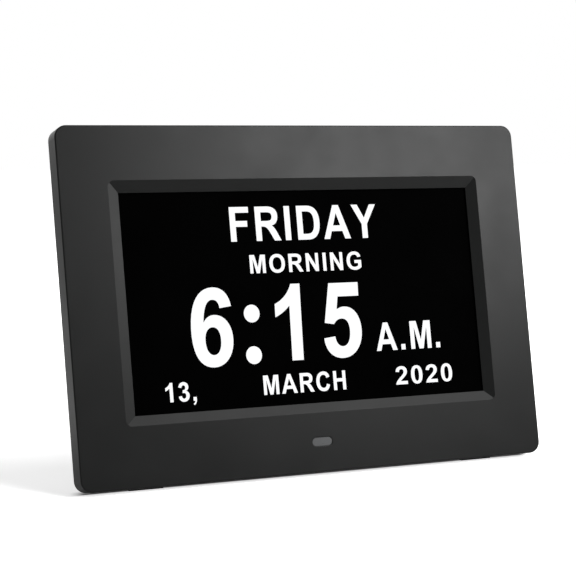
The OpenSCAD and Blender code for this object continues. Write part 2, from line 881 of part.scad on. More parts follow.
module speaker_basket() {
    color("#8d8f92") stand_up() at(speaker_x * -1, speaker_z) difference() {
        union() {
            rod_y(speaker_y - speaker_rim_t, speaker_rim_t, speaker_r);
            plate(speaker_y - speaker_rim_t, speaker_rim_t) slot(2 * (speaker_r + speaker_ear + 2), 6);
            translate([0, speaker_y - speaker_rim_t - basket_depth, 0]) rotate([-90, 0, 0])
                cylinder(h = basket_depth + eps, r1 = magnet_r + 1, r2 = speaker_r - 1);
            rod_y(speaker_y - speaker_rim_t - basket_depth - magnet_t, magnet_t + eps, magnet_r);
        }
        translate([0, speaker_y - speaker_rim_t - basket_depth + 1, 0]) rotate([-90, 0, 0])
            cylinder(h = basket_depth + speaker_rim_t, r1 = basket_bore(0),
                r2 = basket_bore(basket_depth + speaker_rim_t));
        for (side = [-1, 1]) {
            at(side * (speaker_r + speaker_ear - 1), 0) rod_y(0, hump_back, small_screw_r + 0.3);
        }
    }
}

module speaker_cone() {
    cone_back = speaker_y - speaker_rim_t - basket_depth + 1;
    cone_h = basket_depth - 0.4;
    cone_t = 0.6;
    color("#2e2c2a") stand_up() at(speaker_x * -1, speaker_z) {
        difference() {
            translate([0, cone_back, 0]) rotate([-90, 0, 0])
                cylinder(h = cone_h, r1 = basket_bore(0) - 0.1, r2 = basket_bore(cone_h) - 0.1);
            translate([0, cone_back + cone_t, 0]) rotate([-90, 0, 0])
                cylinder(h = cone_h, r1 = basket_bore(0) - 0.1, r2 = basket_bore(cone_h) - 0.1);
        }
        rod_y(cone_back, 1.6, 4);
    }
}

module speaker_screws() {
    color(steel) stand_up() for (side = [-1, 1]) {
        at(side * (speaker_r + speaker_ear - 1) - speaker_x, speaker_z)
            screw_in(speaker_y - speaker_rim_t, speaker_rim_t + cover_t - 0.7,
                small_screw_r, small_head_r, small_head_t);
    }
}

module speaker_leads() {
    lead_r = 0.5;
    back = speaker_y - speaker_rim_t - basket_depth - magnet_t - lead_r;
    color("#8c2a24") stand_up() for (i = [0, 1]) {
        z = speaker_z + 2.4 * i;
        wire([[-speaker_x, back, z], [-speaker_x + speaker_r + 2, back, z],
            [-speaker_x + 2 * speaker_r + 2, main_y - 1.4, z + 2], [main_x0 - 4, main_y - 1.4, z + 2],
            [main_x0 + 6, main_y - lead_r, z + 4]], lead_r);
    }
}

// ---- Rear cover ---------------------------------------------------------

module hump_block() {
    at_frame() translate([0, frame_depth, 0]) rotate([-90, 0, 0])
        profiled_block(hump_w, hump_h, hump_corner_r, hump_depth)
            side_profile(hump_corner_r, hump_depth, hump_draft, hump_edge_r);
}

module hump_hollow() {
    hollow_r = hump_corner_r - cover_t;
    hollow_depth = hump_depth - cover_t;
    at_frame() translate([0, frame_depth, 0]) rotate([-90, 0, 0])
        profiled_block(hump_w - 2 * cover_t, hump_h - 2 * cover_t, hollow_r, hollow_depth)
            sharp_profile(hollow_r, hollow_depth, hump_draft * hollow_depth / hump_depth);
}

module channel_block(grow) {
    translate([-channel_w / 2 - grow, channel_floor - grow, -frame_h])
        cube([channel_w + 2 * grow, hump_back, frame_h + channel_top + grow]);
}

module hook_cut() {
    rod_y(back_inside - eps, cover_t + 1, hook_head_r);
    plate(back_inside - eps, cover_t + 1) translate([0, hook_rise / 2]) rotate([0, 0, 90])
        slot(hook_rise + 2 * hook_slot_r, 2 * hook_slot_r);
}

module hook_pocket(grow) {
    plate(back_inside - hook_room - grow, hook_room + grow + eps)
        translate([0, hook_rise / 2]) round_rect(2 * hook_head_r + 1 + 2 * grow,
            2 * hook_head_r + 1 + hook_rise + 2 * grow, 2 + grow);
}

module grille() {
    at(-speaker_x, speaker_z) {
        rod_y(back_inside - eps, cover_t + 1, grille_hole_r);
        for (ring = [1:grille_rings], k = [0:6 * ring - 1]) {
            rotate([0, 60 * k / ring, 0]) translate([grille_step * ring, 0, 0])
                rod_y(back_inside - eps, cover_t + 1, grille_hole_r);
        }
    }
}

// Block round a screw's well, grown out to the raised back's own walls
module well_tower(x, z) {
    w = well_r + well_wall;
    out_x = (abs(x) > case_near) ? case_inset : w;
    out_z = z > 0 ? frame_bottom + frame_h - z : z - frame_bottom;
    translate([x > 0 ? x - w : x - out_x, frame_depth, z > 0 ? z - w : z - out_z])
        cube([w + out_x, hump_depth, w + out_z]);
}

// Rows of cooling slots
vent_w = 16;
vent_h = 1.6;
vent_pitch = 4;
vent_count = 6;
vent_z = -56;
label_w = 46;
label_h = 24;
label_sink = 0.4;
module vents() {
    for (side = [-1, 1], k = [0:vent_count - 1]) {
        at(side * speaker_x, vent_z + vent_pitch * (k - vent_count / 2 + 0.5))
            plate(back_inside - eps, cover_t + 1) slot(vent_w, vent_h);
    }
}

// Shallow bare panel where a rating plate would be
module label_recess() {
    at(speaker_x, -speaker_down) plate(hump_back - label_sink, 1) round_rect(label_w, label_h, 1.5);
}

module socket_cuts() {
    translate([socket_mouth + 5, socket_y, dc_z]) rod_x(12, dc_hole_r + 1);
    translate([socket_mouth - 0.1, main_back - 0.3, usb_z - usb_w / 2 - 0.3])
        cube([12, usb_h + 0.6, usb_w + 0.6]);
    translate([socket_mouth - 0.1, main_back - 0.3, card_z - card_w / 2 - 0.3])
        cube([12, card_t + 0.6, card_w + 0.6]);
}

module rear_cover() {
    color(inside_colour) stand_up() difference() {
        union() {
            difference() {
                union() {
                    at_frame() plate(cover_y, cover_t) round_rect(cover_w, cover_h, cover_r);
                    hump_block();
                }
                hump_hollow();
                at_frame() plate(cover_y - 1, cover_t + 1 + eps)
                    round_rect(hump_w - 2 * cover_t, hump_h - 2 * cover_t, hump_corner_r - cover_t);
            }
            intersection() {
                hump_block();
                union() {
                    channel_block(cover_t);
                    for (side = [-1, 1]) {
                        translate([side * (channel_w / 2 + cover_t + lug_t / 2), swing_y, pivot_up]) {
                            rod_x(lug_t + 2 * eps, lug_r);
                            translate([-lug_t / 2 - eps, 0, -lug_r]) cube([lug_t + 2 * eps, lug_r, 2 * lug_r]);
                        }
                    }
                    for (x = [-hook_x, hook_x]) {
                        at(x, hook_up) hook_pocket(hook_wall);
                    }
                    for (x = case_x, z = case_z) {
                        well_tower(x, z);
                    }
                }
            }
            at_main_holes() rod_y(main_back, boss_len + eps, small_boss_r);
            for (side = [-1, 1]) {
                at(side * key_screw_x, keys_up)
                    rod_y(key_board_y + board_t, back_inside - key_board_y - board_t + eps, small_boss_r);
            }
        }
        channel_block(0);
        translate([0, swing_y, pivot_up]) rod_x(pin_len + 0.2, pin_r + thread_gap);
        for (x = case_x, z = case_z) {
            at(x, z) rod_y(frame_depth + cover_t, hump_depth, well_r);
            at(x, z) rod_y(0, hump_back, screw_r + 0.35);
        }
        for (i = [0:6]) {
            at(key_x(i), keys_up) plate(back_inside - 1, cover_t + 2)
                round_rect(key_w + 2 * key_gap, key_h + 2 * key_gap, 1.8 + key_gap);
        }
        at_main_holes() rod_y(main_back - 1, 7, small_screw_r + thread_gap);
        for (side = [-1, 1]) {
            at(side * key_screw_x, keys_up) rod_y(key_board_y, board_t + 4, small_screw_r + thread_gap);
            at(side * (speaker_r + speaker_ear - 1) - speaker_x, speaker_z)
                rod_y(back_inside - 1, 1 + cover_t - 0.6, small_screw_r + thread_gap);
        }
        for (x = [-hook_x, hook_x]) {
            at(x, hook_up) {
                hook_cut();
                hook_pocket(0);
            }
        }
        grille();
        vents();
        label_recess();
        socket_cuts();
    }
}

module case_screws() {
    color(steel) stand_up() for (x = case_x, z = case_z) {
        at(x, z) screw(frame_depth + cover_t, case_screw_len + cover_t, screw_r, screw_head_r, screw_head_t);
    }
}

// ---- Leg ----------------------------------------------------------------

module on_pivot() {
    translate([0, swing_y, pivot_up]) rotate([leg_swing, 0, 0]) children();
}

// Straight beside the pivot, then drawn in to the foot
leg_straight = 8;
module leg_outline() {
    polygon([[-leg_w / 2, heel_up], [-leg_w / 2, -leg_straight], [-foot_w / 2, -leg_end],
        [foot_w / 2, -leg_end], [leg_w / 2, -leg_straight], [leg_w / 2, heel_up]]);
}

module stand_leg() {
    rim = 2.4;
    pocket = 2.6;
    color("#242628") stand_up() on_pivot() difference() {
        plate(-leg_t / 2, leg_t) leg_outline();
        for (side = [-1, 1]) {
            translate([side * foot_w / 4, -leg_t / 2, -leg_end / 2 - pin_r])
                cube([foot_w / 2 - 1.5 * rim, 2 * pocket, leg_end - 4 * rim], center = true);
        }
        rod_x(leg_w + 1, pin_r + running_gap);
    }
}

// Rubber foot on the leg's end, its sole flat on the table
module stand_foot() {
    color(rubber_black) stand_up() on_pivot() intersection() {
        translate([-foot_w / 2, -leg_t / 2, -leg_end - 3 * foot_len]) cube([foot_w, leg_t, 3 * foot_len]);
        rotate([-leg_lean, 0, 0]) translate([-frame_w, -frame_h, -pivot_height])
            cube([2 * frame_w, 2 * frame_h, frame_h]);
    }
}

module hinge_pin() {
    color(steel) stand_up() translate([0, swing_y, pivot_up]) rod_x(pin_len, pin_r);
}

// ---- Nodes --------------------------------------------------------------

front_bezel();
sensor_window();
sensor_board();
sensor_receiver();
sensor_screws();
sensor_leads();
lcd_frame();
lcd_glass();
diffuser_sheets();
light_guide();
led_strip();
lcd_tray();
lcd_ribbon();
lcd_brackets();
bracket_screws();
main_board();
processor();
memory_chips();
crystal();
capacitors();
power_inductor();
ribbon_connector();
cell_holder();
coin_cell();
dc_jack();
usb_port();
card_socket();
board_screws();
key_board();
key_switches();
key_board_screws();
key_ribbon();
speaker_basket();
speaker_cone();
speaker_screws();
speaker_leads();
rear_cover();
case_screws();
key_cap(0);  // power_button
key_cap(1);  // menu_button
key_cap(2);  // left_button
key_cap(3);  // up_button
key_cap(4);  // down_button
key_cap(5);  // right_button
key_cap(6);  // ok_button
plunger(0);  // power_plunger
plunger(1);  // menu_plunger
plunger(2);  // left_plunger
plunger(3);  // up_plunger
plunger(4);  // down_plunger
plunger(5);  // right_plunger
plunger(6);  // ok_plunger
stand_leg();
stand_foot();
hinge_pin();
frame_feet();
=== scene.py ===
import json
import math
import bmesh
import bpy
from mathutils import Matrix, Vector


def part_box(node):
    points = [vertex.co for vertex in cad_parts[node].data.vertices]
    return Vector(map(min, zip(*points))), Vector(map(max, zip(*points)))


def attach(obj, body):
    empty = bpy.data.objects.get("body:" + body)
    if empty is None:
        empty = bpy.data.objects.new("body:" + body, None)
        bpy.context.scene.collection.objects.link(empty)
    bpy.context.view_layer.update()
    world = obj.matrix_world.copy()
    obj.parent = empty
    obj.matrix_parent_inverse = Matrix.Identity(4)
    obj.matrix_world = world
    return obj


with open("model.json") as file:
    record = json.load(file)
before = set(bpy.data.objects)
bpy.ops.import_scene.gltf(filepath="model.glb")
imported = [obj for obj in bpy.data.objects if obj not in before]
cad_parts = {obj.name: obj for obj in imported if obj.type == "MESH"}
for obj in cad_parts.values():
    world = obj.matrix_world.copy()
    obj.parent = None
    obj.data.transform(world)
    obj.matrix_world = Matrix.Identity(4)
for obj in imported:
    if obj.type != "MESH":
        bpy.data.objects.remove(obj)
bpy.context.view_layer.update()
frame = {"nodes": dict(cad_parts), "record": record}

MM = 0.001
NODES = frame["nodes"]
RECORD = frame["record"]
JOINTS = {j["name"]: j for j in RECORD["behaviour"]["joints"]}

# The clock's own axes: across, up along its leaning face, and into its depth.
DEPTH = -Vector(JOINTS["ok_press"]["axis"]).normalized()
ACROSS = Vector((1.0, 0.0, 0.0))
UPWARD = ACROSS.cross(DEPTH).normalized()

# Named lengths are in mm where nothing else is said.
GLASS_BACK = 4.25       # the glass's rear face, behind the front of the frame
GLASS_T = 1.1
GLASS_DROP = 1.5        # the display module sits this far below the screen's centre
SCREEN = (176.64, 99.36)
KEY_NAMES = ("power", "menu", "left", "up", "down", "right", "ok")

glass_lo, glass_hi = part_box("lcd_glass")
# The middle of the screen, in the plane of the frame's front.
CENTRE = ((glass_lo + glass_hi) / 2
          - DEPTH * (GLASS_BACK - GLASS_T / 2) * MM + UPWARD * GLASS_DROP * MM)


def panel_matrix(x, y, z):
    """A place x across, y deep and z up from CENTRE, in mm, whose local XY is the face."""
    at = CENTRE + ACROSS * x * MM + DEPTH * y * MM + UPWARD * z * MM
    m = Matrix((ACROSS, UPWARD, -DEPTH)).transposed().to_4x4()
    m.translation = at
    return m


# ------------------------------------------------------------------ node helper

WAVE_TURN = 0.314       # the wave texture's scale for one band per unit of length


class Graph:
    """Adds and links the shader nodes of a material or of the world."""

    def __init__(self, owner, output="ShaderNodeOutputMaterial"):
        owner.use_nodes = True
        self.owner = owner
        self.tree = owner.node_tree
        self.tree.nodes.clear()
        self.out = self.add(output)
        self.place = None

    def add(self, kind, **settings):
        node = self.tree.nodes.new(kind)
        for key, value in settings.items():
            setattr(node, key, value)
        return node

    def link(self, a, b):
        self.tree.links.new(a, b)

    def coord(self):
        """The place on the piece, in metres in the frame's own axes."""
        if self.place is None:
            self.place = self.add("ShaderNodeTexCoord").outputs["Object"]
        return self.place

    def component(self, vector, name):
        n = self.add("ShaderNodeSeparateXYZ")
        self.link(vector, n.inputs["Vector"])
        return n.outputs[name]

    def stretched(self, x, y, z):
        n = self.add("ShaderNodeMapping")
        n.inputs["Scale"].default_value = (x, y, z)
        self.link(self.coord(), n.inputs["Vector"])
        return n.outputs["Vector"]

    def noise(self, scale, detail=2.0, rough=0.5, coord=None):
        n = self.add("ShaderNodeTexNoise")
        n.inputs["Scale"].default_value = scale
        n.inputs["Detail"].default_value = detail
        n.inputs["Roughness"].default_value = rough
        self.link(coord or self.coord(), n.inputs["Vector"])
        return n.outputs["Fac"]

    def cells(self, scale, **settings):
        n = self.add("ShaderNodeTexVoronoi", **settings)
        n.inputs["Scale"].default_value = scale
        self.link(self.coord(), n.inputs["Vector"])
        return n.outputs["Distance"]

    def bands(self, pitch_mm):
        """Soft bands that follow each other along X."""
        n = self.add("ShaderNodeTexWave", bands_direction="X", wave_profile="SIN")
        n.inputs["Scale"].default_value = WAVE_TURN / (pitch_mm * MM)
        self.link(self.coord(), n.inputs["Vector"])
        return n.outputs["Fac"]

    def spread(self, fac, low, high, start=0.3, end=0.7):
        """low up to start, high from end on, and a straight slope between them."""
        n = self.add("ShaderNodeMapRange")
        n.inputs["From Min"].default_value = start
        n.inputs["From Max"].default_value = end
        n.inputs["To Min"].default_value = low
        n.inputs["To Max"].default_value = high
        self.link(fac, n.inputs["Value"])
        return n.outputs["Result"]

    def ramp(self, fac, stops):
        n = self.add("ShaderNodeValToRGB")
        band = n.color_ramp
        while len(band.elements) < len(stops):
            band.elements.new(0.5)
        for element, (place, colour) in zip(band.elements, stops):
            element.position = place
            element.color = (*colour, 1.0)
        self.link(fac, n.inputs["Fac"])
        return n.outputs["Color"]

    def maths(self, kind, a, b):
        n = self.add("ShaderNodeMath", operation=kind)
        for socket, value in zip(n.inputs, (a, b)):
            if isinstance(value, (int, float)):
                socket.default_value = value
            else:
                self.link(value, socket)
        return n.outputs["Value"]

    def mix(self, fac, a, b):
        n = self.add("ShaderNodeMix", data_type="RGBA")
        self.link(fac, n.inputs["Factor"])
        for socket in (s for s in n.inputs if s.type == "RGBA"):
            value = a if socket.name == "A" else b
            if isinstance(value, tuple):
                socket.default_value = (*value, 1.0)
            else:
                self.link(value, socket)
        return [o for o in n.outputs if o.type == "RGBA"][0]

    def bump(self, height, depth_mm, strength=1.0, normal=None):
        n = self.add("ShaderNodeBump")
        n.inputs["Strength"].default_value = strength
        n.inputs["Distance"].default_value = depth_mm * MM
        self.link(height, n.inputs["Height"])
        if normal is not None:
            self.link(normal, n.inputs["Normal"])
        return n.outputs["Normal"]

    def soft_edge(self, radius_mm):
        n = self.add("ShaderNodeBevel", samples=4)
        n.inputs["Radius"].default_value = radius_mm * MM
        return n.outputs["Normal"]

    def surface(self, colour=None, rough=None, normal=None, **constants):
        s = self.add("ShaderNodeBsdfPrincipled")
        for key, value in constants.items():
            s.inputs[key.replace("_", " ")].default_value = value
        for key, value in (("Base Color", colour), ("Roughness", rough), ("Normal", normal)):
            if value is None:
                continue
            if isinstance(value, tuple):
                s.inputs[key].default_value = (*value, 1.0)
            elif isinstance(value, (int, float)):
                s.inputs[key].default_value = value
            else:
                self.link(value, s.inputs[key])
        self.link(s.outputs["BSDF"], self.out.inputs["Surface"])
        return s


def material_graph(name):
    return Graph(bpy.data.materials.new(name))


# ------------------------------------------------------------------ materials

def tone(colour, factor):
    return tuple(min(1.0, c * factor) for c in colour)


DUST_FROM, DUST_FULL = 0.70, 0.92    # how far up a face looks where dust starts and is full


def moulded(name, colour, rough=0.5, grain_mm=0.35, depth_mm=0.01, mottle=0.12,
            spec=0.3, edge_mm=0.25, dust_rough=None):
    """Moulded plastic: a fine spark-eroded grain, faint flow mottling and uneven sheen.
    dust_rough is the roughness that fine dust gives to the faces that look up."""
    g = material_graph(name)
    flow = g.noise(scale=22, detail=3)
    fine = g.noise(scale=1 / (grain_mm * MM), detail=2)
    patch = g.noise(scale=55, detail=4, rough=0.6)
    base = g.ramp(flow, [(0.3, tone(colour, 1 - mottle)), (0.7, tone(colour, 1 + mottle))])
    speck = g.spread(fine, low=0.0, high=0.35, start=0.55, end=0.75)
    uneven = g.maths("ADD", g.maths("MULTIPLY", patch, 0.6), g.maths("MULTIPLY", fine, 0.4))
    sheen = g.spread(uneven, rough - 0.05, rough + 0.05)
    if dust_rough is not None:
        facing_up = g.component(g.add("ShaderNodeNewGeometry").outputs["Normal"], "Z")
        dust = g.spread(facing_up, 0.0, dust_rough, DUST_FROM, DUST_FULL)
        sheen = g.maths("MAXIMUM", sheen, dust)
    g.surface(colour=g.mix(speck, base, tone(colour, 1.5)), rough=sheen,
              normal=g.bump(fine, depth_mm, 0.6, g.soft_edge(edge_mm)),
              Specular_IOR_Level=spec)
    return g.owner


# Painted shade for the hollow of a metal socket: its metal is darkened with depth.
SOCKET_PAINTED_SHADE = (0.012, 0.012, 0.013)
SOCKET_LIP, SOCKET_DEEP = 0.15, 1.5    # mm behind a socket's mouth: where the painted shade starts, and where it is full


def brushed(name, colour, rough=0.3, along=(40, 40, 1600), depth_mm=0.002, mouth=None):
    """Rolled or plated metal with fine drawn lines and dull patches.
    mouth is where along X a socket opens; behind it painted shade darkens the metal, fully so
    deeper inside."""
    g = material_graph(name)
    lines = g.noise(scale=1.0, detail=3, rough=0.6, coord=g.stretched(*along))
    dull = g.noise(scale=180, detail=4, rough=0.6)
    base = g.ramp(dull, [(0.3, tone(colour, 0.8)), (0.75, tone(colour, 1.15))])
    if mouth is not None:
        # Painted shade, fading in from the lip to full deeper inside the socket.
        painted_shade = g.spread(g.component(g.coord(), "X"), 1.0, 0.0,
                          start=mouth - SOCKET_DEEP * MM, end=mouth - SOCKET_LIP * MM)
        base = g.mix(painted_shade, base, SOCKET_PAINTED_SHADE)
    uneven = g.maths("MULTIPLY", g.maths("ADD", lines, dull), 0.5)
    g.surface(colour=base, rough=g.spread(uneven, rough - 0.1, rough + 0.15),
              normal=g.bump(lines, depth_mm, 0.5, g.soft_edge(0.15)), Metallic=1.0)
    return g.owner


def striped(name, base_colour, line_colour, pitch_mm, share, rough=0.35):
    """A film with parallel conductors seen through it. share is the lines' part of the pitch."""
    g = material_graph(name)
    lines = g.spread(g.bands(pitch_mm), 0.0, 1.0, start=1 - share, end=1 - share + 0.1)
    dirt = g.noise(scale=300, detail=3)
    under = g.ramp(dirt, [(0.3, tone(base_colour, 0.85)), (0.7, tone(base_colour, 1.15))])
    g.surface(colour=g.mix(lines, under, line_colour),
              rough=g.spread(dirt, rough - 0.08, rough + 0.08),
              normal=g.bump(lines, depth_mm=0.02, strength=0.6), Specular_IOR_Level=0.4)
    return g.owner


def board_look():
    """Green solder mask over copper tracks, with small bright vias and pads."""
    g = material_graph("circuit_board")
    tracks = g.cells(260, feature="DISTANCE_TO_EDGE", distance="MANHATTAN")
    line = g.spread(tracks, 1.0, 0.0, start=0.03, end=0.07)
    dots = g.spread(g.cells(240, feature="F1"), 1.0, 0.0, start=0.09, end=0.13)
    weave = g.noise(scale=900, detail=2)
    mask = g.ramp(weave, [(0.3, (0.010, 0.075, 0.030)), (0.7, (0.018, 0.105, 0.045))])
    copper = g.mix(line, mask, (0.035, 0.19, 0.075))
    g.surface(colour=g.mix(dots, copper, (0.52, 0.46, 0.30)), rough=g.spread(weave, 0.25, 0.4),
              normal=g.bump(line, depth_mm=0.03, strength=0.7), Specular_IOR_Level=0.5)
    return g.owner


def glass_look():
    """Black anti-glare display glass with a faint haze."""
    g = material_graph("display_glass")
    haze = g.noise(scale=4200, detail=2)
    patch = g.noise(scale=30, detail=3)
    g.surface(colour=g.ramp(patch, [(0.3, (0.0001,) * 3), (0.7, (0.0003,) * 3)]),
              rough=g.spread(haze, 0.52, 0.66),
              normal=g.bump(haze, depth_mm=0.001, strength=0.3), Specular_IOR_Level=0.002)
    return g.owner


PIXEL, PIXEL_GAP = 0.1725, 0.012      # mm


def lit_look():
    """Lit white characters, made of the display's fine rows and columns of cells."""
    g = material_graph("lit_characters")
    cells = g.add("ShaderNodeTexBrick", offset=0.0, squash=1.0)
    for key, value in (("Scale", 1.0), ("Mortar Size", PIXEL_GAP * MM), ("Mortar Smooth", 0.4),
                       ("Brick Width", PIXEL * MM), ("Row Height", PIXEL * MM)):
        cells.inputs[key].default_value = value
    cells.inputs["Color1"].default_value = (1.0, 1.0, 1.0, 1.0)
    cells.inputs["Color2"].default_value = (0.985, 0.99, 1.0, 1.0)
    cells.inputs["Mortar"].default_value = (0.80, 0.82, 0.84, 1.0)
    g.link(g.coord(), cells.inputs["Vector"])
    s = g.surface(colour=(0.02, 0.02, 0.02), rough=0.4, Specular_IOR_Level=0.0)
    g.link(cells.outputs["Color"], s.inputs["Emission Color"])
    s.inputs["Emission Strength"].default_value = 1.05
    return g.owner


def acrylic_look():
    """Clear acrylic with the white dots that send the lamps' light forward."""
    g = material_graph("clear_acrylic")
    dots = g.spread(g.cells(700, feature="F1"), 1.0, 0.0, start=0.25, end=0.35)
    g.surface(colour=g.mix(dots, (0.80, 0.86, 0.88), (0.95, 0.95, 0.95)),
              rough=g.spread(dots, 0.08, 0.5), Transmission_Weight=0.6, IOR=1.49)
    return g.owner


def lamp_strip_look():
    """White film with yellow phosphor lamps along it."""
    g = material_graph("lamp_strip")
    on = g.spread(g.bands(pitch_mm=8.0), 0.0, 1.0, start=0.7, end=0.75)
    dirt = g.noise(scale=500, detail=3)
    film = g.ramp(dirt, [(0.3, (0.78, 0.78, 0.75)), (0.7, (0.86, 0.86, 0.83))])
    g.surface(colour=g.mix(on, film, (0.85, 0.68, 0.10)), rough=g.spread(dirt, 0.35, 0.5),
              normal=g.bump(on, depth_mm=0.05, strength=0.6))
    return g.owner


def ferrite_look():
    """Dark sintered ferrite with a gritty face."""
    g = material_graph("ferrite")
    grit = g.noise(scale=2500, detail=4, rough=0.7)
    g.surface(colour=g.ramp(grit, [(0.35, (0.035, 0.033, 0.030)), (0.7, (0.085, 0.078, 0.070))]),
              rough=g.spread(grit, 0.55, 0.75), normal=g.bump(grit, depth_mm=0.02))
    return g.owner


def rubber_look():
    """Soft black rubber with shallow moulded ribs."""
    g = material_graph("rubber")
    ribs = g.bands(pitch_mm=1.6)
    bloom = g.noise(scale=160, detail=4, rough=0.65)
    grain = g.noise(scale=3000, detail=2)
    g.surface(colour=g.ramp(bloom, [(0.3, (0.014, 0.014, 0.014)), (0.75, (0.030, 0.030, 0.029))]),
              rough=g.spread(grain, 0.65, 0.82),
              normal=g.bump(ribs, 0.12, 0.8, g.bump(grain, 0.01, 0.5)),
              Specular_IOR_Level=0.3)
    return g.owner


def cone_look():
    """Pressed paper with fibres across its face."""
    g = material_graph("speaker_cone")
    fibre = g.noise(scale=1.0, detail=4, rough=0.7, coord=g.stretched(900, 2600, 1500))
    g.surface(colour=g.ramp(fibre, [(0.3, (0.018, 0.018, 0.018)), (0.7, (0.045, 0.044, 0.042))]),
              rough=g.spread(fibre, 0.75, 0.9), normal=g.bump(fibre, depth_mm=0.03))
    return g.owner


STEEL = {"colour": (0.50, 0.50, 0.51), "rough": 0.32, "along": (700, 90, 90)}

LOOKS = {
    "front_frame": moulded("front_frame", (0.0018, 0.0020, 0.0019), rough=0.335, grain_mm=0.45,
                           depth_mm=0.010, mottle=0.10, spec=0.105, edge_mm=0.15,
                           dust_rough=0.85),
    "back_cover": moulded("back_cover", (0.020, 0.0205, 0.0210), rough=0.58, grain_mm=0.55,
                          depth_mm=0.022),
    "leg_plastic": moulded("leg_plastic", (0.020, 0.0205, 0.0215), rough=0.42, grain_mm=0.4,
                           depth_mm=0.008, mottle=0.10, spec=0.35),
    "sensor_window": moulded("sensor_window", (0.030, 0.031, 0.032), rough=0.30, grain_mm=0.5,
                             depth_mm=0.003, spec=0.27),
    "screen": glass_look(),
    "white_plastic": moulded("white_plastic", (0.80, 0.80, 0.78), grain_mm=0.4,
                             depth_mm=0.008, mottle=0.04, spec=0.4),
    "clear_acrylic": acrylic_look(),
    "lamp_strip": lamp_strip_look(),
    "circuit_board": board_look(),
    "black_component": moulded("black_component", (0.016, 0.016, 0.017), rough=0.55,
                               grain_mm=0.12, depth_mm=0.006, mottle=0.2, spec=0.4),
    "connector_plastic": moulded("connector_plastic", (0.72, 0.68, 0.58), rough=0.42,
                                 grain_mm=0.3, depth_mm=0.006, mottle=0.06, spec=0.45),
    "capacitor_sleeve": striped("capacitor_sleeve", (0.030, 0.038, 0.075), (0.42, 0.44, 0.46),
                                pitch_mm=7.0, share=0.18, rough=0.25),
    "ferrite": ferrite_look(),
    "ribbon_film": striped("ribbon_film", (0.42, 0.19, 0.045), (0.55, 0.30, 0.09),
                           pitch_mm=1.0, share=0.55),
    "lead_insulation": moulded("lead_insulation", (0.30, 0.028, 0.022), rough=0.36,
                               grain_mm=0.2, depth_mm=0.004, spec=0.5),
    "key_plastic": moulded("key_plastic", (0.018, 0.0185, 0.019), rough=0.36, grain_mm=0.3,
                           depth_mm=0.005, spec=0.4, edge_mm=0.3),
    "plunger_plastic": moulded("plunger_plastic", (0.02, 0.02, 0.02), grain_mm=0.2,
                               depth_mm=0.004, mottle=0.15),
    "speaker_cone": cone_look(),
    "rubber": rubber_look(),
    "plated_metal": brushed("plated_metal", (0.62, 0.62, 0.61), rough=0.28),
    "steel": brushed("steel", **STEEL),
}

# The two metal sockets in the side are bright at their lip and have painted shade inside.
SOCKETS = {name: brushed(name + "_metal", mouth=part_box(name)[1][0], **STEEL)
           for name in ("card_socket", "usb_port")}

for part in RECORD["subparts"]:
    shown = NODES[part["node"]]
    for slot in shown.material_slots:
        slot.material = SOCKETS.get(part["node"], LOOKS[part["material_slot"]])


# ---------------------------------------------------------- display characters

